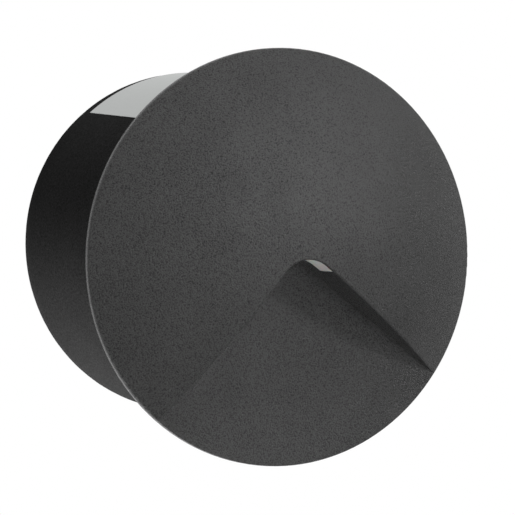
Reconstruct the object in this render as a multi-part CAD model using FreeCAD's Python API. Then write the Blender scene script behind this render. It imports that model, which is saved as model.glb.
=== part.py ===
"""Recessed wall light with a domed round faceplate and a dart-shaped light outlet.

Millimetres. The origin is the centre of the hole in the wall, in the wall's surface.
The faceplate looks along -Y into the room, the housing runs along +Y into the wall, and +Z is up.
The housing and its flange stay in the wall. The faceplate, with the lens, the LED board and the
spring clips, pulls out of it forwards.
"""
import FreeCAD
import Part
import math
import os

# Driving dimensions
plate_d = 80.0            # diameter of the domed faceplate
dome_h = 11.0             # how far the dome rises above its rim
rim_t = 1.15              # height of the rim, up to where the dome and the floor of the dart start
rim_round = 0.5           # radius that softens the rim
shell_t = 1.8             # thickness of the dome's skin
plate_drop = 1.7          # how far the faceplate's centre lies below the housing's centre
housing_d = 67.6          # outside diameter of the housing
housing_depth = 58.3      # from the wall's surface to the housing's rear face
housing_wall = 2.0        # wall of the housing
housing_back_t = 2.2      # rear wall of the housing
housing_round = 16.0      # radius that rounds the housing's rear end
flange_reach = 4.1        # how far the flange stands out past the housing, to stop it at the wall
flange_t = 0.8            # thickness of the flange

# The dart in the faceplate
dart_half_angle = 45.0    # degrees, from the vertical to each wall of the dart
dart_tip_rise = 2.3       # where the two walls would meet, above the faceplate's centre
dart_round = 6.0          # radius that rounds the tip
dart_wall_t = 1.6         # thickness of the dart's walls
dart_edge_round = 0.45    # radius along the front edge of those walls
dart_edge_skin = 0.02     # how far that radius starts outside the dome, so that it meets it at an angle
floor_back_t = 1.2        # how far the dart's floor is thickened inside the housing's mouth

# The lens and what lights it
lens_back = 4.6           # from the dart's floor to the near edge of the lens
lens_lip = 0.5            # skin that the dome keeps in front of the lens
lens_leg = 3.3            # how far the ends of the lens hang below the faceplate's centre
lens_flange_t = 1.2       # thickness of the flange behind the lens
lens_flange_w = 1.2       # width of the flange round the window
gasket_t = 0.3            # lens gasket, pressed
reflector_w = 16.4        # reflector, across
reflector_wall = 0.8      # wall of the reflector
reflector_d = 4.8         # reflector, front to back
board_rise = 4.4          # underside of the LED board above the faceplate's centre
board_t = 1.0             # LED board
board_screw_gap = 0.4     # from the reflector to the heads of the LED board's screws
board_end = 1.8           # from each of those screws to the end of the LED board
board_d = 6.4             # LED board, front to back
board_back = 2.5          # from the wall's surface to the LED board's rear edge
chip_size = 3.0           # side of an LED
chip_t = 0.6              # height of an LED
chip_edge = 0.6           # from the reflector's wall to the outer LEDs
chip_count = 3
carrier_edge = 0.5        # how far the platform that cools the LED board stands past it
carrier_t = 2.5           # thickness of that platform
carrier_ear = 7.0         # how far the carrier's rear flange stands past the platform at each end
carrier_flange_h = 6.0    # height of that flange
carrier_flange_t = 1.8    # thickness of that flange
carrier_back = 0.1        # from the wall's surface to the rear face of the carrier
carrier_notch_w = 6.0     # notch that lets the LED leads pass
carrier_notch_h = 2.0
boss_r = 2.6              # bosses that carry the LED carrier
boss_edge = 3.0           # from the end of the carrier's flange to each boss
boss_rise = 3.0           # from the platform's underside to a boss's centre

# The collar that holds the faceplate in the housing
collar_gap = 0.25         # radial clearance in the housing's mouth
collar_t = 2.2            # thickness of the collar
collar_len = 9.0          # from the wall's surface to the collar's rear edge
ring_section_d = 1.2      # section of the sealing ring
ring_groove_w = 1.8       # groove for the sealing ring
ring_groove_y = 1.0       # from the wall's surface to that groove
ring_gap = 0.15           # clearance between the sealing ring and the housing
clip_count = 3
clip_w = 6.0              # width of a spring clip
clip_t = 0.5              # thickness of its strip
clip_base_len = 5.0       # part of the strip that lies against the collar
clip_leaf_len = 10.0      # part of the strip that presses on the housing
clip_gap = 0.15           # clearance between the leaf and the housing
clip_tip_drop = 1.2       # how far the leaf's free end turns inwards
clip_crest_share = 0.6    # where the leaf's crest lies along it
clip_bend_r = 1.5         # inner radius of the clip's bends
clip_screw_y = 6.0        # from the wall's surface to a clip's screw

# The driver
driver_w = 38.0           # driver case, across
driver_h = 17.0           # driver case, height
driver_back = 7.1         # from the driver to the housing's rear wall
driver_len = 22.0         # driver case with its lid, front to back
driver_z = 4.0            # underside of the driver case above the housing's centre
driver_wall = 1.4         # wall and lid of the driver case
lug_w = 6.0               # lugs on the sides of the driver case
lug_h = 6.0
lug_t = 2.0
lug_rise = 4.0            # from the case's underside to the lug's lower edge
circuit_w = 33.0          # driver circuit board
circuit_t = 1.6
circuit_rise = 1.0        # from the case's floor to the circuit board
circuit_gap = 0.6         # from the circuit board to the case's end walls
coil_w = 11.0             # transformer
coil_d = 10.0
coil_h = 9.0
coil_core_over = 1.0      # how far the transformer's core stands past its winding
coil_edge = 2.0           # from the board's end to the transformer's winding
capacitor_d = 7.0         # the larger capacitor
capacitor_h = 10.0
capacitor_edge = 1.0      # from the board's end to the smaller capacitor
capacitor_small_share = 0.7   # size of the second capacitor in terms of the first
chip_block_w = 5.0        # control chip on the circuit board
chip_block_h = 1.4
socket_w = 8.8            # output socket
socket_h = 6.0
socket_len = 9.0
socket_out = 5.0          # how far the socket stands out of the driver's lid
socket_wall = 0.8
plug_gap = 0.2            # clearance round the plug in its socket
plug_out = 4.5            # how far the plug stands out of the socket
lead_d = 1.1              # LED leads
lead_x = 1.3              # from the middle to each LED lead

# The mains connection
pole_pitch = 6.6          # terminal block, from one pole to the next
pole_count = 3
block_h = 11.0            # terminal block, height
block_len = 12.2          # terminal block, front to back
block_x = -0.5            # left side of the terminal block
block_z = -19.0           # underside of the terminal block
block_edge = 1.1          # plastic beyond the outer poles
pole_neck = 0.9           # waist between two poles
well_r = 1.7              # wells of the terminal screws, two in each pole
well_len = 5.0
well_rise = 2.9           # from the block's middle to each well
wire_hole_r = 1.3         # holes for the wires
wire_y = 7.5              # from the block's front to the wire holes
pad_t = 5.7               # pad that raises the terminal block clear of the rounded rear end
mains_d = 1.6             # leads from the terminal block to the driver
mains_shift = 3.4         # how far they step sideways

# The cable gland, for a cable of 5 to 6.5 mm
gland_x = -7.8            # place of the gland on the rear wall
gland_z = -1.0
gland_thread_r = 6.0      # thread through the rear wall
gland_gap = 0.15          # radial clearance of the thread in its hole
gland_af = 16.0           # across the flats of the gland's body
gland_body_len = 5.0
gland_inner_len = 6.0     # thread that stands into the housing
gland_outer_len = 6.0     # thread that takes the cap nut
gland_bore_r = 3.6
seal_r = 5.0              # rubber seal in the gland
seal_bore_r = 3.3
seal_len = 6.6
seal_gap = 0.05
washer_r = 8.6            # sealing washer under the gland
washer_t = 1.0
locknut_af = 17.0
locknut_t = 3.0
cap_r = 8.4               # cap nut
cap_len = 9.0
cap_back = 1.0            # gap between the cap nut and the gland's hexagon
cap_mouth_t = 2.4         # end wall of the cap nut
cap_flute_r = 1.0         # grip flutes round the cap nut
cap_flute_count = 12

# Small screws: radius of the shank, radius and height of the head, length under the head
small_shank_r = 0.95
small_head_r = 1.6
small_head_h = 1.2
slot_w = 0.5
slot_h = 0.5
board_screw_len = 3.2
carrier_screw_len = 6.0
clip_screw_len = 2.0
driver_screw_len = 4.6
block_screw_len = 4.4
screw_pilot_gap = 0.05

# Fixing holes in the flange
fix_hole_r = 1.5
fix_hole_count = 2

overrun = 1.0             # how far a cutting tool reaches past what it cuts

# Sizes that follow from the ones above
plate_r = plate_d / 2
housing_r = housing_d / 2
flange_r = housing_r + flange_reach
fix_hole_ring_r = housing_r + flange_reach / 2
bore_r = housing_r - housing_wall
plate_back = -flange_t
floor_y = plate_back - rim_t
dome_top = floor_y - dome_h
sphere_r = (plate_r ** 2 + dome_h ** 2) / (2 * dome_h)
sphere_y = dome_top + sphere_r
half_angle = math.radians(dart_half_angle)
tip_z = dart_tip_rise - plate_drop
round_z = tip_z - dart_round / math.sin(half_angle)
lens_y = floor_y - lens_back
lens_end_z = -plate_drop - lens_leg
board_z = board_rise - plate_drop
platform_z = board_z + board_t
carrier_y = -carrier_back
board_screw_x = reflector_w / 2 + board_screw_gap + small_head_r
board_w = 2 * (board_screw_x + board_end)
carrier_w = board_w + 2 * carrier_edge
carrier_flange_w = carrier_w + 2 * carrier_ear
chip_room = reflector_w - 4 * reflector_wall - 2 * chip_edge - chip_size
chip_pitch = chip_room / (chip_count - 1)
boss_x = carrier_flange_w / 2 - boss_edge
boss_z = platform_z + boss_rise
collar_r = bore_r - collar_gap
collar_in_r = collar_r - collar_t
inner_back = housing_depth - housing_back_t
driver_end = inner_back - driver_back
driver_y = driver_end - driver_len
circuit_z = driver_z + driver_wall + circuit_rise
socket_z = circuit_z + circuit_t + socket_h / 2
socket_y = driver_y - socket_out
plug_y = socket_y - plug_out
block_w = pole_count * pole_pitch + 2 * block_edge
block_y = inner_back - pad_t - block_len
block_top = block_z + block_h
well_z = [block_z + block_h / 2 + s * well_rise for s in (-1, 1)]
screw_x = block_x + block_edge + pole_pitch / 2

os.makedirs("parts", exist_ok=True)


def vec(x, y, z):
    return FreeCAD.Vector(x, y, z)


def save(shape, name):
    """Write one piece, or a group of like pieces, and print its size."""
    shape = shape.removeSplitter() if len(shape.Solids) == 1 else shape
    shape.exportStep("parts/" + name + ".step")
    print(name, "solids", len(shape.Solids), "volume", round(shape.Volume, 1), "valid", shape.isValid())


def rod(r, y0, y1, x=0, z=0):
    """A round bar along Y from y0 to y1."""
    return Part.makeCylinder(r, y1 - y0, vec(x, y0, z), vec(0, 1, 0))


def tube(r, r_in, y0, y1, x=0, z=0):
    return rod(r, y0, y1, x, z).cut(rod(r_in, y0 - overrun, y1 + overrun, x, z))


def post(r, z0, z1, x, y):
    """A round bar along Z from z0 to z1."""
    return Part.makeCylinder(r, z1 - z0, vec(x, y, z0), vec(0, 0, 1))


def block(x0, x1, y0, y1, z0, z1):
    return Part.makeBox(x1 - x0, y1 - y0, z1 - z0, vec(x0, y0, z0))


def hexagon(af, y0, y1, x, z):
    """A hexagonal bar along Y, af across its flats."""
    corner = af / math.sqrt(3)
    points = [vec(x + corner * math.cos(k * math.pi / 3), y0, z + corner * math.sin(k * math.pi / 3))
              for k in range(7)]
    return Part.Face(Part.makePolygon(points)).extrude(vec(0, y1 - y0, 0))


def revolve(points, x=0, z=0):
    """Turn a closed outline of (radius, y) points about the Y axis through x, z."""
    wire = Part.makePolygon([vec(x + r, y, z) for r, y in points + points[:1]])
    return Part.Face(wire).revolve(vec(x, 0, z), vec(0, 1, 0), 360)


def fused(shapes):
    return shapes[0].multiFuse(shapes[1:]) if len(shapes) > 1 else shapes[0]


def group(shapes):
    return Part.makeCompound(shapes)


def screw(length, pilot=0):
    """A slotted pan-head screw at the origin, its shank along +Y and its head in front."""
    head = rod(small_head_r, -small_head_h, 0)
    head = head.makeFillet(small_head_h / 2, [e for e in head.Edges if e.CenterOfMass.y < -small_head_h * 0.9])
    cut = block(-small_head_r, small_head_r, -small_head_h - overrun, -small_head_h + slot_h, -slot_w / 2, slot_w / 2)
    return head.fuse(rod(small_shank_r - pilot, 0, length)).cut(cut)


def placed(shape, x, y, z, axis=None, angle=0):
    """A copy turned about an axis through the origin and then moved."""
    copy = shape.copy()
    if axis is not None:
        copy.rotate(vec(0, 0, 0), axis, angle)
    copy.translate(vec(x, y, z))
    return copy


def dart(offset, y0, y1):
    """The dart's outline, widened by offset on every side, as a solid from y0 to y1."""
    r = dart_round + offset
    side = vec(math.cos(half_angle), 0, math.sin(half_angle))
    down = vec(math.sin(half_angle), 0, -math.cos(half_angle))
    reach = plate_d
    right = vec(0, y0, round_z) + side * r
    right_end = right + down * reach
    left, left_end = (vec(-p.x, p.y, p.z) for p in (right, right_end))
    top = vec(0, y0, round_z + r)
    edges = [Part.LineSegment(left_end, left).toShape(), Part.Arc(left, top, right).toShape(),
             Part.LineSegment(right, right_end).toShape(), Part.LineSegment(right_end, left_end).toShape()]
    return Part.Face(Part.Wire(edges)).extrude(vec(0, y1 - y0, 0))


def band(inner, outer, y0, y1, z_end):
    """The strip between two offsets of the dart's outline, down to the height z_end."""
    strip = dart(outer, y0, y1).cut(dart(inner, y0 - overrun, y1 + overrun))
    return strip.common(block(-plate_r, plate_r, y0, y1, z_end, plate_r))


def ball(r):
    """The sphere of the dome, with another radius."""
    return Part.makeSphere(r, vec(0, sphere_y, -plate_drop))


def pipe(points, diameter):
    """A round lead through the points: straight runs joined by tangent arcs."""
    edges = []
    start = points[0]
    for a, b, c in zip(points, points[1:], points[2:]):
        run = 0.45 * min((b - a).Length, (c - b).Length)
        first = b + (a - b).normalize() * run
        last = b + (c - b).normalize() * run
        turn = (b - a).getAngle(c - b)
        radius = run / math.tan(turn / 2)
        centre = b + ((first - b) + (last - b)).normalize() * math.hypot(run, radius)
        middle = centre + (b - centre).normalize() * radius
        edges += [Part.LineSegment(start, first).toShape(), Part.Arc(first, middle, last).toShape()]
        print("  lead bend radius", round(radius, 2), "in diameters", round(radius / diameter, 1))
        start = last
    edges.append(Part.LineSegment(start, points[-1]).toShape())
    path = Part.Wire(edges)
    circle = Part.Wire(Part.makeCircle(diameter / 2, points[0], points[1] - points[0]))
    return path.makePipeShell([circle], True, False)


# Faceplate: a shallow dome with a dart cut down to a flat floor, die-cast in one piece
def dome_outline():
    """The full dome before the dart is cut, turned from half of its section."""
    fillet_x = plate_r - rim_round
    fillet_y = sphere_y - math.sqrt((sphere_r - rim_round) ** 2 - fillet_x ** 2)
    scale = sphere_r / (sphere_r - rim_round)
    join = vec(fillet_x * scale, sphere_y + (fillet_y - sphere_y) * scale, 0)
    mid_angle = (math.atan2(fillet_y - join.y, join.x - fillet_x)) / 2
    mid = vec(fillet_x + rim_round * math.cos(mid_angle), fillet_y - rim_round * math.sin(mid_angle), 0)
    dome_angle = math.asin(join.x / sphere_r) / 2
    dome_mid = vec(sphere_r * math.sin(dome_angle), sphere_y - sphere_r * math.cos(dome_angle), 0)
    top, side = vec(0, dome_top, 0), vec(plate_r, fillet_y, 0)
    back, axis_end = vec(plate_r, plate_back, 0), vec(0, plate_back, 0)
    edges = [Part.Arc(top, dome_mid, join).toShape(), Part.Arc(join, mid, side).toShape(),
             Part.LineSegment(side, back).toShape(), Part.LineSegment(back, axis_end).toShape(),
             Part.LineSegment(axis_end, top).toShape()]
    solid = Part.Face(Part.Wire(edges)).revolve(vec(0, 0, 0), vec(0, 1, 0), 360)
    solid.translate(vec(0, 0, -plate_drop))
    return solid


def dart_cutter():
    """What the dart takes out of the dome, with the front edge of its walls rounded."""
    reach = plate_r / 8
    r = sphere_r + dart_edge_skin
    walls = ball(r).common(rod(plate_r + reach, dome_top - overrun, floor_y + reach, 0, -plate_drop))
    walls = walls.cut(dart(0, dome_top - overrun, floor_y + 2 * reach))
    centre = vec(0, sphere_y, -plate_drop)
    edges = []
    for edge in walls.Edges:
        span = edge.LastParameter - edge.FirstParameter
        points = [edge.valueAt(edge.FirstParameter + k * span / 4) for k in (1, 2, 3)]
        on_dome = all(abs((p - centre).Length - r) < dart_edge_skin / 10 for p in points)
        inside = all(math.hypot(p.x, p.z + plate_drop) < plate_r + reach / 2 for p in points)
        if on_dome and inside:
            edges.append(edge)
    walls = walls.makeFillet(dart_edge_round, edges)
    return rod(plate_r + 2 * reach, dome_top - 2 * overrun, floor_y, 0, -plate_drop).cut(walls)


outer = dome_outline().cut(dart_cutter())
cavity = ball(sphere_r - shell_t).common(rod(plate_r, dome_top, plate_back + overrun, 0, -plate_drop))
cavity = cavity.cut(dart(dart_wall_t, dome_top - overrun, plate_back + 2 * overrun))
plate = outer.cut(cavity)
collar = tube(collar_r, collar_in_r, dome_top, plate_back).common(outer)
collar = collar.fuse(tube(collar_r, collar_in_r, plate_back, collar_len))
ring_r_in = bore_r - ring_gap - ring_section_d
groove = tube(collar_r + overrun, ring_r_in, ring_groove_y, ring_groove_y + ring_groove_w)
floor_back = dart(dart_wall_t, plate_back, plate_back + floor_back_t).common(
    rod(collar_in_r + collar_t / 2, plate_back, plate_back + floor_back_t))
bosses = fused([rod(boss_r, dome_top, carrier_y - carrier_flange_t, s * boss_x, boss_z) for s in (-1, 1)])
plate = plate.multiFuse([collar, floor_back, bosses.common(outer)])
window = band(0, dart_wall_t + gasket_t, dome_top, lens_y, lens_end_z).common(ball(sphere_r - lens_lip))
pilots = [rod(small_shank_r + screw_pilot_gap, carrier_y - carrier_flange_t - carrier_screw_len,
              carrier_y, s * boss_x, boss_z) for s in (-1, 1)]
clip_angles = [math.radians(90 + k * 360 / clip_count) for k in range(clip_count)]
clip_holes = [Part.makeCylinder(small_shank_r + screw_pilot_gap, collar_t + 2 * overrun,
                                vec(math.cos(a) * (collar_in_r - overrun), clip_screw_y,
                                    math.sin(a) * (collar_in_r - overrun)),
                                vec(math.cos(a), 0, math.sin(a))) for a in clip_angles]
plate = plate.cut(fused([window, groove]))
for tool in pilots + clip_holes:
    plate = plate.cut(tool)
save(plate, "faceplate")

# Lens: a frosted strip bent round the tip of the dart, with a flange behind the dart's wall
fit = plug_gap / 2
lens_body = band(0, dart_wall_t + gasket_t, dome_top, lens_y - fit, lens_end_z + fit)
lens_body = lens_body.common(ball(sphere_r - lens_lip - fit))
flange_front = lens_y + lens_flange_w - reflector_d
flange_strip = (flange_front, lens_y + lens_flange_w, lens_end_z - lens_flange_w)
lens_flange = band(dart_wall_t + gasket_t, dart_wall_t + gasket_t + lens_flange_t, *flange_strip)
save(lens_body.fuse(lens_flange), "lens")
save(band(dart_wall_t, dart_wall_t + gasket_t, *flange_strip).cut(window), "lens_gasket")

# Reflector: a white box that leads the light from the LEDs to the lens
flange_top = dart_wall_t + gasket_t + lens_flange_t
reflector = block(-reflector_w / 2, reflector_w / 2, flange_strip[0], flange_strip[1], lens_end_z, board_z)
hole = block(-reflector_w / 2 + 2 * reflector_wall, reflector_w / 2 - 2 * reflector_wall,
             flange_strip[0] + reflector_wall, flange_strip[1] - reflector_wall, lens_end_z, board_z + overrun)
save(reflector.cut(hole).cut(dart(flange_top, dome_top, overrun)), "reflector")

# LED board with its chips, hung under the LED carrier
board_y = -board_back - board_d / 2
board = block(-board_w / 2, board_w / 2, -board_back - board_d, -board_back, board_z, platform_z)
for s in (-1, 1):
    board = board.cut(post(small_shank_r + screw_pilot_gap, board_z - overrun, platform_z + overrun,
                           s * board_screw_x, board_y))
save(board, "led_board")
first = -(chip_count - 1) * chip_pitch / 2
chip_y = (flange_strip[0] + flange_strip[1]) / 2
save(group([block(first + k * chip_pitch - chip_size / 2, first + k * chip_pitch + chip_size / 2,
                  chip_y - chip_size / 2, chip_y + chip_size / 2, board_z - chip_t, board_z)
            for k in range(chip_count)]), "led_chips")
save(group([placed(screw(board_screw_len), s * board_screw_x, board_y, board_z, vec(1, 0, 0), 90)
            for s in (-1, 1)]), "led_board_screws")

# LED carrier: an aluminium platform with a rear flange, screwed to the bosses of the faceplate
carrier_flange_y = carrier_y - carrier_flange_t
carrier = block(-carrier_w / 2, carrier_w / 2, -board_back - board_d, carrier_flange_y, platform_z,
                platform_z + carrier_t)
carrier = carrier.fuse(block(-carrier_flange_w / 2, carrier_flange_w / 2, carrier_flange_y, carrier_y, platform_z,
                             platform_z + carrier_flange_h))
carrier = carrier.cut(block(-carrier_notch_w / 2, carrier_notch_w / 2, -board_back, carrier_y + overrun,
                            platform_z - overrun, platform_z + carrier_notch_h))
corners = [e for e in carrier.Edges if abs(abs(e.CenterOfMass.x) - carrier_flange_w / 2) < carrier_back
           and e.Length < carrier_flange_t + carrier_back]
carrier = carrier.makeFillet(carrier_flange_t, corners)
for s in (-1, 1):
    carrier = carrier.cut(rod(small_shank_r + screw_pilot_gap, carrier_flange_y - overrun, carrier_y + overrun,
                              s * boss_x, boss_z))
    carrier = carrier.cut(post(small_shank_r + screw_pilot_gap, platform_z - overrun, platform_z + carrier_t,
                               s * board_screw_x, board_y))
save(carrier, "led_carrier")
save(group([placed(screw(carrier_screw_len), s * boss_x, carrier_y, boss_z, vec(0, 0, 1), 180)
            for s in (-1, 1)]), "carrier_screws")

# Sealing ring and spring clips on the collar
ring_r = bore_r - ring_gap - ring_section_d / 2
ring = Part.makeTorus(ring_r, ring_section_d / 2, vec(0, ring_groove_y + ring_groove_w / 2, 0), vec(0, 1, 0))
save(ring, "sealing_ring")


def bent_strip(points, bend_r, thickness, width):
    """A strip of sheet bent along points in the x-y plane, its thickness to the left of its run."""
    edges = []
    start = points[0]
    for a, b, c in zip(points, points[1:], points[2:]):
        before, after = (a - b).normalize(), (c - b).normalize()
        half_turn = (math.pi - before.getAngle(after)) / 2
        run = bend_r * math.tan(half_turn)
        first, last = b + before * run, b + after * run
        middle = b + (before + after).normalize() * (bend_r / math.cos(half_turn) - bend_r)
        edges += [Part.LineSegment(start, first).toShape(), Part.Arc(first, middle, last).toShape()]
        start = last
    edges.append(Part.LineSegment(start, points[-1]).toShape())
    line = Part.Wire(edges)
    sheet = line.extrude(vec(0, 0, width))
    sheet.translate(vec(0, 0, -width / 2))
    return sheet.makeOffsetShape(thickness, clip_gap / 100, fill=True)


def clip_shape():
    """A clip seen from its edge: a base against the collar, then a leaf that bows outwards."""
    r = math.sqrt(collar_in_r ** 2 - clip_w ** 2 / 4) - clip_t
    top = bore_r - clip_gap - clip_t
    points = [vec(r, collar_len - clip_base_len, 0), vec(r, collar_len + clip_t, 0),
              vec(top, collar_len + clip_leaf_len * clip_crest_share, 0),
              vec(top - clip_tip_drop, collar_len + clip_leaf_len, 0)]
    return bent_strip(points, clip_bend_r, -clip_t, clip_w)


clip = clip_shape()
clip = clip.cut(Part.makeCylinder(small_shank_r + screw_pilot_gap, collar_t + 2 * overrun,
                                  vec(collar_in_r - collar_t, clip_screw_y, 0), vec(1, 0, 0)))
clip_screw = placed(screw(clip_screw_len), 0, 0, 0, vec(0, 0, 1), -90)
clip_screw.translate(vec(math.sqrt(collar_in_r ** 2 - clip_w ** 2 / 4) - clip_t, clip_screw_y, 0))
clips = []
clip_screws = []
for a in clip_angles:
    clips.append(placed(clip, 0, 0, 0, vec(0, 1, 0), -math.degrees(a)))
    clip_screws.append(placed(clip_screw, 0, 0, 0, vec(0, 1, 0), -math.degrees(a)))
save(group(clips), "spring_clips")
save(group(clip_screws), "clip_screws")

# Housing: a smooth cup with a rounded rear end, a thin flange, posts for the driver and a pad for the terminal block
def cup(r, y0, y1, corner):
    """A round bar along Y whose edge at y1 is rounded."""
    bar = rod(r, y0, y1)
    return bar.makeFillet(corner, [e for e in bar.Edges if e.CenterOfMass.y > (y0 + y1) / 2
                                   and e.Curve.TypeId == "Part::GeomCircle"])


cup_outside = cup(housing_r, plate_back, housing_depth, housing_round)
cup_inside = cup(bore_r, plate_back - overrun, inner_back, housing_round - housing_wall)
housing = cup_outside.fuse(rod(flange_r, plate_back, 0)).cut(cup_inside)
lug_x = driver_w / 2 + lug_w / 2
lug_z = driver_z + lug_rise + lug_h / 2
posts = [rod(boss_r, driver_end, inner_back + overrun, s * lug_x, lug_z) for s in (-1, 1)]
pad = block(block_x, block_x + block_w, inner_back - pad_t, inner_back + overrun, block_z, block_top)
housing = housing.fuse(fused(posts + [pad]).common(cup_outside))
housing = housing.cut(rod(gland_thread_r + gland_gap, inner_back - overrun, housing_depth + overrun, gland_x, gland_z))
for k in range(fix_hole_count):
    a = math.pi * 2 * k / fix_hole_count
    housing = housing.cut(rod(fix_hole_r, plate_back - overrun, overrun, fix_hole_ring_r * math.cos(a),
                              fix_hole_ring_r * math.sin(a)))
for s in (-1, 1):
    housing = housing.cut(rod(small_shank_r + screw_pilot_gap, driver_end - overrun,
                              driver_end - lug_t + driver_screw_len, s * lug_x, lug_z))
block_screw_places = [(screw_x + pole_pitch * (k + 0.5), block_z + block_h / 2) for k in range(pole_count - 1)]
for x, z in block_screw_places:
    housing = housing.cut(rod(small_shank_r + screw_pilot_gap, inner_back - pad_t - overrun,
                              inner_back - pad_t + block_screw_len / 2, x, z))
save(housing, "housing")

# Cable gland in the rear wall
hex_y = housing_depth + washer_t
thread_y = hex_y + gland_body_len
seal_y = thread_y
save(tube(washer_r, gland_thread_r + gland_gap, housing_depth, hex_y, gland_x, gland_z), "gland_washer")
gland = fused([rod(gland_thread_r, inner_back - gland_inner_len, hex_y, gland_x, gland_z),
               hexagon(gland_af, hex_y, thread_y, gland_x, gland_z),
               rod(gland_thread_r, thread_y, thread_y + gland_outer_len, gland_x, gland_z)])
gland = gland.cut(rod(gland_bore_r, inner_back - gland_inner_len - overrun, seal_y, gland_x, gland_z))
gland = gland.cut(rod(seal_r + seal_gap, seal_y, thread_y + gland_outer_len + overrun, gland_x, gland_z))
save(gland, "gland_body")
nut = hexagon(locknut_af, inner_back - locknut_t, inner_back, gland_x, gland_z)
save(nut.cut(rod(gland_thread_r + seal_gap, inner_back - locknut_t - overrun, inner_back + overrun, gland_x, gland_z)),
     "gland_locknut")
save(tube(seal_r, seal_bore_r, seal_y, seal_y + seal_len, gland_x, gland_z), "gland_seal")
cap_y = thread_y + cap_back
cap_end = cap_y + cap_len
cap = revolve([(gland_thread_r + seal_gap, cap_y), (cap_r, cap_y), (cap_r, cap_end - cap_mouth_t),
               (cap_r - cap_mouth_t / 2, cap_end), (gland_bore_r, cap_end),
               (gland_bore_r, cap_end - cap_mouth_t), (gland_thread_r + seal_gap, cap_end - cap_mouth_t)],
              gland_x, gland_z)
for k in range(cap_flute_count):
    a = 2 * math.pi * k / cap_flute_count
    place = (gland_x + (cap_r + cap_flute_r / 2) * math.cos(a), gland_z + (cap_r + cap_flute_r / 2) * math.sin(a))
    cap = cap.cut(rod(cap_flute_r, cap_y - overrun, cap_end - cap_mouth_t, *place))
save(cap, "gland_cap_nut")

# Driver: a case with a lid, and the circuit inside
case_y = driver_y + driver_wall
case_x = driver_w / 2
case_top = driver_z + driver_h
case = block(-case_x, case_x, case_y, driver_end, driver_z, case_top)
upright = [e for e in case.Edges if abs(e.Length - (driver_end - case_y)) < driver_wall / 10]
case = case.makeFillet(driver_wall, upright)
case = case.cut(block(-case_x + driver_wall, case_x - driver_wall, case_y - overrun, driver_end - driver_wall,
                      driver_z + driver_wall, case_top - driver_wall))
for s in (-1, 1):
    x0, x1 = sorted((s * (case_x - driver_wall / 2), s * (case_x + lug_w)))
    case = case.fuse(block(x0, x1, driver_end - lug_t, driver_end, lug_z - lug_h / 2, lug_z + lug_h / 2))
for s in (-1, 1):
    case = case.cut(rod(small_shank_r + screw_pilot_gap, driver_end - lug_t - overrun, driver_end + overrun,
                        s * lug_x, lug_z))
mains_y = block_y + wire_y
mains_x = [screw_x, screw_x + pole_pitch]
for x in mains_x:
    case = case.cut(post(mains_d / 2 + plug_gap, driver_z - overrun, driver_z + driver_wall + overrun / 2,
                         x - mains_shift, mains_y))
ledges = [block(s * (case_x - driver_wall) - (circuit_rise if s > 0 else 0),
                s * (case_x - driver_wall) + (0 if s > 0 else circuit_rise),
                case_y, driver_end - driver_wall, driver_z + driver_wall, circuit_z) for s in (-1, 1)]
case = case.multiFuse(ledges)
save(case, "driver_case")
lid = block(-case_x, case_x, driver_y, case_y, driver_z, case_top)
lid = lid.makeFillet(driver_wall, [e for e in lid.Edges if abs(e.Length - driver_wall) < driver_wall / 100])
lid = lid.cut(block(-socket_w / 2 - plug_gap, socket_w / 2 + plug_gap, driver_y - overrun, case_y + overrun,
                    circuit_z + circuit_t - plug_gap, socket_z + socket_h / 2 + plug_gap))
save(lid, "driver_lid")
save(group([placed(screw(driver_screw_len), s * lug_x, driver_end - lug_t, lug_z) for s in (-1, 1)]), "driver_screws")
circuit_x = case_x - driver_wall - plug_gap
circuit_y0 = case_y + circuit_gap
circuit_y1 = driver_end - driver_wall - circuit_gap
save(block(-circuit_x, circuit_x, circuit_y0, circuit_y1, circuit_z, circuit_z + circuit_t), "driver_board")
part_z = circuit_z + circuit_t
coil_y = (circuit_y0 + circuit_y1) / 2 + coil_d / 4
coil_x = circuit_x - coil_edge - coil_w / 2
coil = block(-coil_x - coil_w / 2, -coil_x + coil_w / 2, coil_y - coil_d / 2, coil_y + coil_d / 2, part_z,
             part_z + coil_h)
coil = coil.makeFillet(coil_core_over, [e for e in coil.Edges if abs(e.Length - coil_h) < circuit_gap])
core = block(-coil_x - coil_w / 2 - coil_core_over, -coil_x + coil_w / 2 + coil_core_over, coil_y - coil_d / 4,
             coil_y + coil_d / 4, part_z, part_z + coil_h + coil_core_over / 2)
save(coil.fuse(core), "driver_transformer")
small_d = capacitor_d * capacitor_small_share
small_h = capacitor_h * capacitor_small_share
small_x = circuit_x - capacitor_edge - small_d / 2
large_x = small_x - small_d / 2 - circuit_gap - capacitor_d / 2
capacitors = [post(capacitor_d / 2, part_z, part_z + capacitor_h, large_x, coil_y + coil_core_over),
              post(small_d / 2, part_z, part_z + small_h, small_x, coil_y - coil_core_over)]
save(group([c.makeFillet(circuit_gap, [e for e in c.Edges if e.CenterOfMass.z > part_z + circuit_gap and
                                       e.Curve.TypeId == "Part::GeomCircle"]) for c in capacitors]),
     "driver_capacitors")
save(block(circuit_x - chip_block_w - circuit_gap, circuit_x - circuit_gap, circuit_y0 + circuit_gap,
           circuit_y0 + circuit_gap + chip_block_w, part_z, part_z + chip_block_h), "driver_chip")

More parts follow.
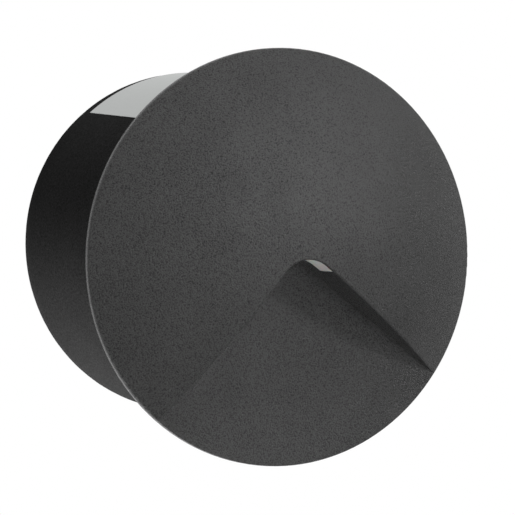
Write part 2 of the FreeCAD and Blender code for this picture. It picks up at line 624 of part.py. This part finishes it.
# Output socket on the driver, and the plug of the LED leads in it
socket = block(-socket_w / 2, socket_w / 2, socket_y, socket_y + socket_len, part_z, part_z + socket_h)
plug_x = socket_w / 2 - socket_wall - plug_gap
plug_z = socket_h / 2 - socket_wall - plug_gap
plug_end = socket_y + socket_out
socket = socket.cut(block(-plug_x - plug_gap, plug_x + plug_gap, socket_y - overrun, plug_end + plug_gap,
                          socket_z - plug_z - plug_gap, socket_z + plug_z + plug_gap))
save(socket, "output_socket")
plug = block(-plug_x, plug_x, plug_y, plug_end, socket_z - plug_z, socket_z + plug_z)
grip = block(-plug_x - socket_wall / 2, plug_x + socket_wall / 2, plug_y, plug_y + plug_out / 2,
             socket_z - plug_z - socket_wall / 2, socket_z + plug_z + socket_wall / 2)
save(plug.fuse(grip), "output_plug")
lead_z = board_z + board_t / 2
lead_run = (plug_y + board_back) * 0.3
leads = []
for s in (-1, 1):
    x = s * lead_x
    leads.append(pipe([vec(x, -board_back, lead_z), vec(x, -board_back + lead_run, lead_z),
                       vec(x, plug_y - lead_run, socket_z), vec(x, plug_y, socket_z)], lead_d))
save(group(leads), "led_leads")

# Terminal block on its pad, its screws reached from the front
terminal = None
for k in range(pole_count):
    x = screw_x + k * pole_pitch
    cell = block(x - pole_pitch / 2 + pole_neck / 2, x + pole_pitch / 2 - pole_neck / 2, block_y,
                 inner_back - pad_t, block_z, block_top)
    terminal = cell if terminal is None else terminal.fuse(cell)
web = block(block_x, block_x + block_w, block_y + well_len, inner_back - pad_t, block_z + block_edge,
            block_top - block_edge)
terminal = terminal.fuse(web)
for k in range(pole_count):
    x = screw_x + k * pole_pitch
    for z in well_z:
        terminal = terminal.cut(rod(well_r, block_y - overrun, block_y + well_len, x, z))
    terminal = terminal.cut(post(wire_hole_r, block_z - overrun, block_top + overrun, x, mains_y))
for x, z in block_screw_places:
    terminal = terminal.cut(rod(small_shank_r + screw_pilot_gap, block_y - overrun, inner_back, x, z))
    terminal = terminal.cut(rod(small_head_r + plug_gap, block_y - overrun,
                                inner_back - pad_t - block_screw_len / 2, x, z))
save(terminal, "terminal_block")
pole_screw = rod(well_r - plug_gap, 0, well_len - slot_h)
pole_screw = pole_screw.cut(block(-well_r, well_r, -overrun, slot_h, -slot_w / 2, slot_w / 2))
save(group([placed(pole_screw, screw_x + k * pole_pitch, block_y + slot_h, z)
            for k in range(pole_count) for z in well_z]), "terminal_screws")
save(group([placed(screw(block_screw_len), x, inner_back - pad_t - block_screw_len / 2, z)
            for x, z in block_screw_places]), "terminal_block_screws")
mains = []
for x in mains_x:
    rise = circuit_z - block_top
    mains.append(pipe([vec(x, mains_y, block_top - wire_hole_r), vec(x, mains_y, block_top + rise * 0.25),
                       vec(x - mains_shift, mains_y, block_top + rise * 0.65),
                       vec(x - mains_shift, mains_y, circuit_z)], mains_d))
save(group(mains), "mains_leads")
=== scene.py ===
# %% [markdown]
# # A recessed wall light, dressed for the studio
# The construction comes in as a fixed frame: every solid, its place and the joint.
# This lesson gives each piece its finish, adds the fine parts that belong to the surface,
# and sets up a camera and a plain studio. Lengths are in metres, because Blender works in metres.

# %% Load the frame
import bpy
import bmesh
import math
from mathutils import Matrix, Vector


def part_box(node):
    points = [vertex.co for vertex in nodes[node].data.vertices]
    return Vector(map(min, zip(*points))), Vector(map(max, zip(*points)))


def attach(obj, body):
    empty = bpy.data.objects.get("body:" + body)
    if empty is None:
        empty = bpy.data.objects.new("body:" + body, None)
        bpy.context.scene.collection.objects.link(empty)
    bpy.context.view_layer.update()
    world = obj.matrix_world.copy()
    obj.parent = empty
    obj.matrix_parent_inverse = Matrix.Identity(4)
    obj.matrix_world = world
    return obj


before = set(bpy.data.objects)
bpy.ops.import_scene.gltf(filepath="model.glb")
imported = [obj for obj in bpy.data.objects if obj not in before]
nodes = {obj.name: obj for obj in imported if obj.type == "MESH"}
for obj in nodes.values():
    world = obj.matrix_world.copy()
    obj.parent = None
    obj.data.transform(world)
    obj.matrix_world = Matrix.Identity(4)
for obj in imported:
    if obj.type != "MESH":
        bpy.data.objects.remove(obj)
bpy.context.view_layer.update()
MM = 0.001
print("pieces in the frame:", len(nodes))

# %% [markdown]
# ## Camera
# The photograph was taken with a long lens from the front left, a little above, and the light
# was turned a few degrees about its own axis. A long lens keeps the faceplate close to a true
# ellipse. A camera can be placed by eye, but then every outline is a little off. These numbers
# were found by fitting a pinhole camera to the outlines in the photograph: where the camera
# stands, how it is rolled, and how far it aims beside the faceplate's centre.

# %% Camera
camera_azimuth = math.radians(-24.12)
camera_elevation = math.radians(5.06)
camera_roll = math.radians(-6.68)
camera_distance = 800 * MM
camera_lens_mm = 292.54
sensor_mm = 36.0
aim_left = 4.35 * MM
aim_down = 0.04 * MM
# from the front of the housing to the middle of the faceplate's thin rim
rim_middle = 0.45 * MM
# metres, beyond the far end of the floor
sight = 20

plate_low, plate_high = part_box("faceplate")
housing_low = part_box("housing")[0]
plate_centre = Vector((0, housing_low.y - rim_middle, (plate_low.z + plate_high.z) / 2))
back = Vector((math.sin(camera_azimuth) * math.cos(camera_elevation),
               -math.cos(camera_azimuth) * math.cos(camera_elevation),
               math.sin(camera_elevation)))
level_right = (-back).cross(Vector((0, 0, 1))).normalized()
level_up = level_right.cross(-back)
right = level_right * math.cos(camera_roll) + level_up * math.sin(camera_roll)
up = back.cross(right)
place = plate_centre - right * aim_left - up * aim_down + back * camera_distance

camera_data = bpy.data.cameras.new("studio_camera")
camera_data.sensor_width = sensor_mm
camera_data.lens = camera_lens_mm
camera_data.clip_end = sight
camera = bpy.data.objects.new("studio_camera", camera_data)
camera.matrix_world = Matrix.Translation(place) @ Matrix((right, up, back)).transposed().to_4x4()
bpy.context.collection.objects.link(camera)
bpy.context.scene.camera = camera
print("camera stands at", [round(v, 4) for v in place])

# %% [markdown]
# ## Helpers for materials
# A finish is a small network of nodes. It can be drawn by hand in the shader editor, but in a
# script it can be read and changed. One function turns a colour written as on a paint chart,
# in sRGB hex, into the linear values that light needs. One function adds a node, sets its
# inputs and links it. Everything else is built from those two.

# %% Colour and node helpers
def linear(colour):
    """A hex colour such as #3C3D3E as linear red, green, blue, alpha."""
    parts = [int(colour[k:k + 2], 16) / 255 for k in (1, 3, 5)]
    return [c / 12.92 if c <= 0.04045 else ((c + 0.055) / 1.055) ** 2.4 for c in parts] + [1.0]


def add(tree, kind, settings=None, **inputs):
    """One node. settings are its own properties; inputs are values, or sockets to link from."""
    node = tree.nodes.new(kind)
    for name, value in (settings or {}).items():
        setattr(node, name, value)
    for name, value in inputs.items():
        key = int(name[1:]) if name[0] == "n" and name[1:].isdigit() else name.replace("_", " ")
        socket = node.inputs[key]
        if isinstance(value, bpy.types.NodeSocket):
            tree.links.new(value, socket)
        else:
            socket.default_value = value
    return node


def new_material(name):
    """An empty material, and the tree to build in."""
    material = bpy.data.materials.new(name)
    material.use_nodes = True
    tree = material.node_tree
    tree.nodes.clear()
    return material, tree


def finish_with(material, tree, shader):
    """The material with shader as its surface."""
    add(tree, "ShaderNodeOutputMaterial", Surface=shader)
    return material


def per_metre(size_mm):
    """The scale of a pattern whose features are size_mm wide."""
    return 1 / (size_mm * MM)


# nearly all of a noise texture lies between these two values
noise_low, noise_high = 0.3, 0.7
print("colour check, mid grey is", round(linear("#808080")[0], 3))

# %% [markdown]
# ## Paints
# The faceplate is cast aluminium with a fine-textured polyester powder coat in dark grey.
# Powder melts into small rounded grains, 0.4 to 0.5 mm across, so the surface looks like very
# fine orange peel: matt, with tiny light and dark points where grains face the lamp. Real
# grains could be modelled, but a million of them would only cost time. A noise texture at the
# grain's size drives the bump, the gloss and the tone instead. Its tone paints those light and
# dark points into the colour, as painted grain shade and glints between a dark and a light grey.
# A second, much broader noise keeps the tone from being perfectly even. The housing is cast
# aluminium in a matt enamel: the same network with a shallow grain, painted grain shade in a
# narrower span of greys, and no shine.

# %% Powder coat and enamel
# how far the broad noise moves the tone, and how many grains wide its patches are
drift_share, drift_width = 0.3, 40
# how much smoother or rougher a single grain is, and grain_mm is a cell of the noise, whose
# spots come out about half as wide again
grain_swing = 0.1


def textured_paint(name, dark, light, grain_mm, relief_mm, roughness, specular):
    """A coat with grains between dark and light, which puts the grains' shade and glints into the
    colour as painted shade and highlight; relief_mm is the height of a grain.
    """
    material, tree = new_material(name)
    where = add(tree, "ShaderNodeTexCoord").outputs["Object"]
    grain = add(tree, "ShaderNodeTexNoise", Vector=where, Scale=per_metre(grain_mm), Detail=2.0,
                Roughness=0.6).outputs["Fac"]
    broad = add(tree, "ShaderNodeTexNoise", Vector=where, Scale=per_metre(grain_mm * drift_width),
                Detail=1.0).outputs["Fac"]
    # the grain noise turned into colour: painted shade and glints of the grains
    grain_shading = add(tree, "ShaderNodeMapRange", Value=grain, From_Min=noise_low, From_Max=noise_high,
               To_Min=-drift_share / 2, To_Max=1 - drift_share / 2)
    drift_and_grain_shading = add(tree, "ShaderNodeMath", {"operation": "MULTIPLY_ADD"}, n0=broad, n1=drift_share,
                n2=grain_shading.outputs["Result"])
    # dark to light carries the painted grain shade and glints, plus the broad noise's random tone
    colour_with_grain_shading = add(tree, "ShaderNodeMix", {"data_type": "RGBA"}, Factor=drift_and_grain_shading.outputs["Value"])
    colour_with_grain_shading.inputs["A"].default_value = linear(dark)
    colour_with_grain_shading.inputs["B"].default_value = linear(light)
    gloss = add(tree, "ShaderNodeMapRange", Value=grain, From_Min=noise_low, From_Max=noise_high,
                To_Min=roughness + grain_swing, To_Max=roughness - grain_swing)
    bump = add(tree, "ShaderNodeBump", Height=grain, Distance=relief_mm * MM, Strength=1.0)
    shader = add(tree, "ShaderNodeBsdfPrincipled", Base_Color=colour_with_grain_shading.outputs["Result"],
                 Roughness=gloss.outputs["Result"], Normal=bump.outputs["Normal"],
                 Specular_IOR_Level=specular)
    return finish_with(material, tree, shader.outputs["BSDF"])


# the dark and light greys are the grains' painted shade and glint, wider apart on the powder coat
powder_coat = textured_paint("dark grey textured powder coat", "#181818", "#515151", grain_mm=0.29,
                             relief_mm=0.14, roughness=0.31, specular=0.22)
housing_paint = textured_paint("dark grey matt enamel", "#202020", "#343434", grain_mm=0.34,
                               relief_mm=0.05, roughness=0.6, specular=0.0)
print("paints:", powder_coat.name, "and", housing_paint.name)

# %% [markdown]
# ## Plastics and rubber
# The inner parts are moulded. Moulded plastic and rubber take the fine even skin of the tool,
# so a faint grain in the roughness and the bump is enough, and a broad noise clouds the colour a
# little, as mixed granules do. One function makes them all, because only the colour and the
# gloss differ. The leads of a pair have two colours, split at the middle between them.

# %% Moulded skins
# The marks of a real tool are about ten times finer than grain_mm, and would not show here.
# how much lighter or darker the clouds are, and how many grains wide
cloud, cloud_width = 0.07, 30
skin_swing = 0.05
skin_relief_strength = 0.6
# how deep light goes into pale plastic
glow_depth = 0.5 * MM


def clouded(tree, colour, amount):
    """The colour, a little darker or lighter by amount, as mixed plastic is."""
    base = linear(colour)[:3]
    mix = add(tree, "ShaderNodeMix", {"data_type": "RGBA"}, Factor=amount)
    mix.inputs["A"].default_value = [c * (1 - cloud) for c in base] + [1.0]
    mix.inputs["B"].default_value = [min(1.0, c * (1 + cloud)) for c in base] + [1.0]
    return mix.outputs["Result"]


def moulded(name, colour, roughness, grain_mm=0.3, relief_mm=0.006, subsurface=0.0, other=None,
            split_x=0.0):
    """A moulded skin. With other, what lies right of split_x has that colour."""
    material, tree = new_material(name)
    where = add(tree, "ShaderNodeTexCoord").outputs["Object"]
    grain = add(tree, "ShaderNodeTexNoise", Vector=where, Scale=per_metre(grain_mm),
                Detail=3.0).outputs["Fac"]
    broad = add(tree, "ShaderNodeTexNoise", Vector=where, Scale=per_metre(grain_mm * cloud_width),
                Detail=2.0).outputs["Fac"]
    tint = clouded(tree, colour, broad)
    if other:
        across = add(tree, "ShaderNodeSeparateXYZ", Vector=where).outputs["X"]
        side = add(tree, "ShaderNodeMath", {"operation": "GREATER_THAN"}, n0=across, n1=split_x)
        pair = add(tree, "ShaderNodeMix", {"data_type": "RGBA"}, Factor=side.outputs["Value"])
        tree.links.new(tint, pair.inputs["A"])
        tree.links.new(clouded(tree, other, broad), pair.inputs["B"])
        tint = pair.outputs["Result"]
    gloss = add(tree, "ShaderNodeMapRange", Value=grain, To_Min=roughness - skin_swing,
                To_Max=roughness + skin_swing)
    bump = add(tree, "ShaderNodeBump", Height=grain, Distance=relief_mm * MM,
               Strength=skin_relief_strength)
    shader = add(tree, "ShaderNodeBsdfPrincipled", Base_Color=tint, Roughness=gloss.outputs["Result"],
                 Normal=bump.outputs["Normal"], Subsurface_Weight=subsurface,
                 Subsurface_Scale=glow_depth)
    return finish_with(material, tree, shader.outputs["BSDF"])


frosted_lens = moulded("frosted polycarbonate", "#D4D6D4", 0.45, subsurface=0.3)
black_rubber = moulded("black EPDM rubber", "#1B1B1C", 0.75)
white_plastic = moulded("white polycarbonate", "#E4E4E1", 0.4)
solder_mask_white = moulded("white solder mask", "#E8E8E4", 0.35)
phosphor = moulded("yellow phosphor in silicone", "#E3C046", 0.3)
black_nylon = moulded("black polyamide", "#1A1A1B", 0.45)
grey_case = moulded("light grey polycarbonate case", "#BDBEBC", 0.45)
solder_mask_green = moulded("green solder mask", "#1B5A33", 0.35)
ferrite_tape = moulded("yellow polyester winding tape", "#C99A2A", 0.35)
black_sleeve = moulded("black shrink sleeve", "#15151A", 0.3)
black_epoxy = moulded("black epoxy", "#111112", 0.55)
natural_nylon = moulded("natural polyamide", "#DAD7C8", 0.45, subsurface=0.2)
led_insulation = moulded("red and black silicone insulation", "#A82018", 0.5, other="#1C1C1E")
mains_low, mains_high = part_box("mains_leads")
mains_insulation = moulded("brown and blue PVC insulation", "#6B3D22", 0.45, other="#20489A",
                           split_x=(mains_low.x + mains_high.x) / 2)
print("the mains leads part at x =", round((mains_low.x + mains_high.x) / 2, 5))

# %% [markdown]
# ## Metals
# The LED carrier is milled aluminium, the screws are zinc-plated steel and the clips are spring
# steel. A metal's colour lives in its reflection, so the shader is metallic and keeps the default
# IOR. Milling and drawing leave fine lines along one direction: noise stretched along it gives
# them in roughness and bump. An anisotropic shader could do it too, but it needs a direction on
# every face, and the lines are finer than the render shows.

# %% Metal finishes
# Real lines are a few hundredths of a millimetre wide. Here they are a tenth, to show at all.
line_swing = 0.08
line_depth = 0.002 * MM
line_strength = 0.5


def metal(name, colour, roughness, stretch=(1, 12, 12), scratch_mm=1.2):
    """A metal with fine lines. The pattern is stretched where stretch is small."""
    material, tree = new_material(name)
    where = add(tree, "ShaderNodeTexCoord").outputs["Object"]
    drawn = add(tree, "ShaderNodeMapping", Vector=where, Scale=stretch).outputs["Vector"]
    lines = add(tree, "ShaderNodeTexNoise", Vector=drawn, Scale=per_metre(scratch_mm),
                Detail=4.0).outputs["Fac"]
    gloss = add(tree, "ShaderNodeMapRange", Value=lines, To_Min=roughness - line_swing,
                To_Max=roughness + line_swing)
    bump = add(tree, "ShaderNodeBump", Height=lines, Distance=line_depth, Strength=line_strength)
    shader = add(tree, "ShaderNodeBsdfPrincipled", Base_Color=linear(colour), Metallic=1.0,
                 Roughness=gloss.outputs["Result"], Normal=bump.outputs["Normal"])
    return finish_with(material, tree, shader.outputs["BSDF"])


aluminium = metal("milled aluminium", "#C4C5C8", 0.35)
zinc = metal("zinc-plated steel", "#B9B9B8", 0.3)
solder = metal("tinned solder", "#C2C3C4", 0.3)
spring_steel = metal("stainless spring steel", "#B4B4B3", 0.28)
print("materials so far:", len(bpy.data.materials))

# %% [markdown]
# ## Finishes for the pieces of the frame
# Each node of the frame keeps its shape, which is already the real one, and only gets its finish.
# The pieces could be modelled anew in Blender, but then they might no longer fit the joint.

# %% Dress the frame
finishes = {
    powder_coat: ["faceplate"],
    housing_paint: ["housing"],
    frosted_lens: ["lens"],
    black_rubber: ["lens_gasket", "sealing_ring", "gland_washer", "gland_seal"],
    white_plastic: ["reflector", "led_chips", "output_plug", "output_socket"],
    solder_mask_white: ["led_board"],
    aluminium: ["led_carrier"],
    zinc: ["led_board_screws", "carrier_screws", "clip_screws", "driver_screws", "terminal_screws",
           "terminal_block_screws"],
    spring_steel: ["spring_clips"],
    led_insulation: ["led_leads"],
    mains_insulation: ["mains_leads"],
    black_nylon: ["gland_body", "gland_locknut", "gland_cap_nut"],
    grey_case: ["driver_case", "driver_lid"],
    solder_mask_green: ["driver_board"],
    ferrite_tape: ["driver_transformer"],
    black_sleeve: ["driver_capacitors"],
    black_epoxy: ["driver_chip"],
    natural_nylon: ["terminal_block"],
}
for material, names in finishes.items():
    for name in names:
        slots = nodes[name].data.materials
        slots.clear()
        slots.append(material)
print("dressed", sum(len(names) for names in finishes.values()), "of", len(nodes), "nodes")

# %% [markdown]
# ## Foil plate
# A thin silver foil is stuck round the top of the housing. On such products it carries the
# ratings; here it is left blank. It was stuck on by hand, slightly askew. It could be a flat
# sheet bent by a modifier, but a strip of a cylinder is exact: a grid round the housing's axis,
# once for the outer skin and once for the glued one, with narrow faces between them all round.

# %% Foil
foil_start, foil_end = math.radians(58), math.radians(122.8)
foil_front, foil_rear = 6 * MM, 40.7 * MM
# how far the foil turns round the housing for each millimetre along it
foil_skew = math.radians(0.093)
# twice as thick as a real foil, so that its edge shows
foil_t = 0.12 * MM
foil_glue = 0.012 * MM
housing_r = 33.8 * MM
foil_steps, foil_rows = 64, 12
# edges that turn by more than this stay sharp
sharp_angle = math.radians(30)


def foil_skin(mesh, radius):
    """One skin of the foil: rows of points along the housing's axis."""
    skin = []
    for i in range(foil_steps + 1):
        row = []
        for j in range(foil_rows + 1):
            y = foil_front + (foil_rear - foil_front) * j / foil_rows
            slip = foil_skew * (foil_rear - y) / MM
            angle = foil_start + (foil_end - foil_start) * i / foil_steps + slip
            row.append(mesh.verts.new((radius * math.cos(angle), y, radius * math.sin(angle))))
        skin.append(row)
    return skin


def make_foil():
    """A strip of a cylinder with an outer and an inner skin, closed all round."""
    mesh = bmesh.new()
    outer = foil_skin(mesh, housing_r + foil_t)
    inner = foil_skin(mesh, housing_r + foil_glue)
    for i in range(foil_steps):
        for j in range(foil_rows):
            mesh.faces.new((outer[i][j], outer[i][j + 1], outer[i + 1][j + 1], outer[i + 1][j]))
            mesh.faces.new((inner[i][j], inner[i + 1][j], inner[i + 1][j + 1], inner[i][j + 1]))
        for j in (0, foil_rows):
            mesh.faces.new((outer[i][j], outer[i + 1][j], inner[i + 1][j], inner[i][j]))
    for i in (0, foil_steps):
        for j in range(foil_rows):
            mesh.faces.new((outer[i][j], outer[i][j + 1], inner[i][j + 1], inner[i][j]))
    bmesh.ops.recalc_face_normals(mesh, faces=mesh.faces[:])
    data = bpy.data.meshes.new("foil_plate")
    mesh.to_mesh(data)
    mesh.free()
    for face in data.polygons:
        face.use_smooth = True
    data.set_sharp_from_angle(angle=sharp_angle)
    piece = bpy.data.objects.new("foil_plate", data)
    bpy.context.collection.objects.link(piece)
    return piece


foil = make_foil()
silver_foil = metal("silver polyester foil", "#B5B7B6", 0.6, stretch=(12, 1, 12), scratch_mm=2.0)
foil.data.materials.append(silver_foil)
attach(foil, "housing")
print("foil has", len(foil.data.polygons), "faces")

# %% [markdown]
# ## Parts that repeat
# The thread of the cable gland, the yellow windows of the LEDs and the solder pads beside them
# are turns or rows of one form. Loops in a script could place them, but Geometry Nodes take the
# sizes as named inputs of a tree. This helper builds such a tree, sets its inputs on a modifier,
# and keeps the result as a plain mesh, without instances. This helper builds such a tree, sets
# its inputs, and keeps the result as a plain mesh, because the export drops instances.

# %% Helper for Geometry Nodes
def grown(name, build, sizes, material, body):
    """A piece that a tree of geometry nodes makes from sizes, as a plain mesh that rides with body."""
    tree = bpy.data.node_groups.new(name, "GeometryNodeTree")
    for label, (kind, _) in sizes.items():
        tree.interface.new_socket(label, in_out="INPUT", socket_type="NodeSocket" + kind)
    tree.interface.new_socket("Geometry", in_out="OUTPUT", socket_type="NodeSocketGeometry")
    entry = add(tree, "NodeGroupInput")
    whole = add(tree, "GeometryNodeRealizeInstances", Geometry=build(tree, entry.outputs))
    coated = add(tree, "GeometryNodeSetMaterial", Geometry=whole.outputs["Geometry"],
                 Material=material)
    add(tree, "NodeGroupOutput", Geometry=coated.outputs["Geometry"])
    piece = bpy.data.objects.new(name, bpy.data.meshes.new(name))
    bpy.context.collection.objects.link(piece)
    modifier = piece.modifiers.new(name, "NODES")
    modifier.node_group = tree
    for item in tree.interface.items_tree:
        if item.in_out == "INPUT":
            modifier[item.identifier] = sizes[item.name][1]
    ready = piece.evaluated_get(bpy.context.evaluated_depsgraph_get())
    mesh = bpy.data.meshes.new_from_object(ready)
    piece.modifiers.clear()
    piece.data = mesh
    print(name, "has", len(mesh.polygons), "faces")
    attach(piece, body)
    return piece


# %% [markdown]
# ## Thread of the cable gland
# Inside the housing, the end of the gland's thread stands out of the locknut. It could be cut
# into the body, but a round ridge wound on it looks the same at this size: a spiral that
# neither widens nor narrows, with a round section swept along it.

# %% Gland thread
thread_margin = 0.5 * MM
thread_pitch = 0.75 * MM
thread_r = 5.95 * MM
ridge_r = 0.22 * MM
steps_a_turn, ridge_sides = 48, 8


def thread_tree(tree, size):
    """A round ridge that winds along +Y from Start."""
    turns = add(tree, "GeometryNodeCurveSpiral", Resolution=steps_a_turn, Rotations=size["Turns"],
                Start_Radius=size["Radius"], End_Radius=size["Radius"], Height=size["Length"])
    section = add(tree, "GeometryNodeCurvePrimitiveCircle", Resolution=ridge_sides,
                  Radius=size["Ridge"])
    ridge = add(tree, "GeometryNodeCurveToMesh", Curve=turns.outputs["Curve"],
                Profile_Curve=section.outputs["Curve"], Fill_Caps=True)
    laid = add(tree, "GeometryNodeTransform", Geometry=ridge.outputs["Mesh"],
               Translation=size["Start"], Rotation=(-math.pi / 2, 0, 0))
    return laid.outputs["Geometry"]


gland_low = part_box("gland_body")[0]
nut_low, nut_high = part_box("gland_locknut")
gland_middle = (nut_low + nut_high) / 2
thread_length = nut_low.y - gland_low.y - 2 * thread_margin
grown("gland_thread", thread_tree, {
    "Turns": ("Float", thread_length / thread_pitch),
    "Radius": ("Float", thread_r),
    "Ridge": ("Float", ridge_r),
    "Length": ("Float", thread_length),
    "Start": ("Vector", (gland_middle.x, gland_low.y + thread_margin, gland_middle.z)),
}, black_nylon, "housing")

# %% [markdown]
# ## Windows and pads of the LEDs
# Each LED is a small white block with a round window of yellow phosphor, soldered at both ends.
# They could be three copies made by hand. Here one form is instanced on the points of a line, so
# the count and the step are inputs, and the same tree sets out the windows and the pads.

# %% LED windows and solder pads
window_r = 1.15 * MM
window_t = 0.06 * MM
window_sides = 32
pad_size = Vector((0.5, 1.6, 0.12)) * MM
pad_gap = 0.05 * MM


def row_tree(form):
    """A tree that sets out one form along X, Count times from Start."""
    def build(tree, size):
        line = add(tree, "GeometryNodeMeshLine", Count=size["Count"], Start_Location=size["Start"],
                   Offset=size["Step"])
        put = add(tree, "GeometryNodeInstanceOnPoints", Points=line.outputs["Mesh"],
                  Instance=form(tree, size))
        return put.outputs["Instances"]
    return build


def disc_form(tree, size):
    """A flat round disc."""
    return add(tree, "GeometryNodeMeshCylinder", Vertices=window_sides, Radius=size["Radius"],
               Depth=size["Thickness"]).outputs["Mesh"]


def pad_form(tree, size):
    """A small flat block."""
    return add(tree, "GeometryNodeMeshCube", Size=size["Size"]).outputs["Mesh"]


chips_low, chips_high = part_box("led_chips")
chip_count = 3
chip_w = chips_high.y - chips_low.y
chip_step = (chips_high.x - chips_low.x - chip_w) / (chip_count - 1)
first_chip = Vector((chips_low.x + chip_w / 2, (chips_low.y + chips_high.y) / 2, chips_low.z))
row = {"Count": ("Int", chip_count), "Start": ("Vector", first_chip),
       "Step": ("Vector", (chip_step, 0, 0))}
grown("led_windows", row_tree(disc_form),
      {**row, "Radius": ("Float", window_r), "Thickness": ("Float", window_t)},
      phosphor, "faceplate")
pad_out = chip_w / 2 + pad_gap + pad_size.x / 2
pad_up = chips_high.z - chips_low.z - pad_size.z / 2
for side, name in ((-1, "solder_pads_left"), (1, "solder_pads_right")):
    start = first_chip + Vector((side * pad_out, 0, pad_up))
    grown(name, row_tree(pad_form),
          {**row, "Start": ("Vector", start), "Size": ("Vector", pad_size)},
          solder, "faceplate")

# %% [markdown]
# ## Ground
# The photograph has a plain white ground. A strong lamp on a white backdrop would give that, but
# it would light the object too. Here the world and the floor are white wherever the camera, a
# reflection or glass sees them, and give only a soft even light otherwise. The floor lies well
# below the light, which hangs in the air as it would in its wall.

# %% World and floor
world_strength = 0.14
floor_drop = 1.6
floor_size = 8.0

scene = bpy.context.scene
scene.view_settings.view_transform = "Standard"


def seen_directly(tree):
    """1 for a ray from the camera, a reflection or glass, and 0 for light that falls on things."""
    path = add(tree, "ShaderNodeLightPath")
    seen = add(tree, "ShaderNodeMath", {"operation": "MAXIMUM"}, n0=path.outputs["Is Camera Ray"],
               n1=path.outputs["Is Glossy Ray"])
    return add(tree, "ShaderNodeMath", {"operation": "MAXIMUM"}, n0=seen.outputs["Value"],
               n1=path.outputs["Is Transmission Ray"]).outputs["Value"]


def white_where_seen(tree, kind, plain):
    """Pure white for what sees it directly, and the plain shader for the light it gives."""
    white = add(tree, kind, Color=linear("#FFFFFF"), Strength=1.0)
    return add(tree, "ShaderNodeMixShader", Fac=seen_directly(tree), n1=plain.outputs[0],
               n2=white.outputs[0]).outputs["Shader"]


world = bpy.data.worlds.new("studio")
scene.world = world
world.use_nodes = True
sky = world.node_tree
sky.nodes.clear()
soft = add(sky, "ShaderNodeBackground", Color=linear("#FFFFFF"), Strength=world_strength)
add(sky, "ShaderNodeOutputWorld", Surface=white_where_seen(sky, "ShaderNodeBackground", soft))

bpy.ops.mesh.primitive_plane_add(size=floor_size, location=(0, 0, -floor_drop))
floor = bpy.context.object
floor.name = "studio_floor"
floor_material, tree = new_material("white paper floor")
paper = add(tree, "ShaderNodeBsdfDiffuse", Color=linear("#F2F2F0"))
finish_with(floor_material, tree, white_where_seen(tree, "ShaderNodeEmission", paper))
floor.data.materials.append(floor_material)
print("the floor lies", floor_drop, "m below the light")

# %% [markdown]
# ## Lamps
# The highlight right above the dome's middle comes from a small key that shows in the gloss
# alone, so that it stays compact, and weaker keys and a large soft box light the rest. A strong
# lamp low behind grazes the side of the housing. It, the lamp below and the soft box aren't
# mirrored in gloss, or they would draw a white line along the rim and a glare on the plate when
# it is seen from below. The powers could be set by eye. Here they were fitted: the scene was
# rendered with one lamp at a time, and the powers were solved for the tones of the photograph.

# %% Lamps
# name, place in metres, size in metres, power in watts, lights surfaces, shows in gloss
studio_lamps = (
    ("key in the gloss", (0.80, -1.05, 0.42), 0.2, 7.8, False, True),
    ("key from the right", (0.92, -1.0, 0.36), 0.3, 0.7, True, True),
    ("front key", (0.30, -1.2, 0.20), 0.25, 0.35, True, True),
    ("middle front key", (0.1, -1.25, 0.1), 0.25, 1.4, True, True),
    ("low front fill", (0.2, -1.2, -0.5), 0.5, 1.5, True, True),
    ("top soft box", (0.15, -0.35, 1.15), 0.6, 12.0, True, False),
    ("lamp below", (-0.5, -0.5, -0.95), 0.4, 4.1, True, False),
    ("low lamp behind", (-0.25, 0.45, -0.65), 0.5, 21.2, True, False),
)
for name, place, size, power, lights, mirrored in studio_lamps:
    data = bpy.data.lights.new(name, "AREA")
    data.size = size
    data.energy = power
    lamp = bpy.data.objects.new(name, data)
    bpy.context.collection.objects.link(lamp)
    lamp.location = place
    lamp.rotation_euler = (-Vector(place)).to_track_quat("-Z", "Y").to_euler()
    lamp.visible_diffuse = lights
    lamp.visible_glossy = mirrored
print("lamps:", len(studio_lamps))
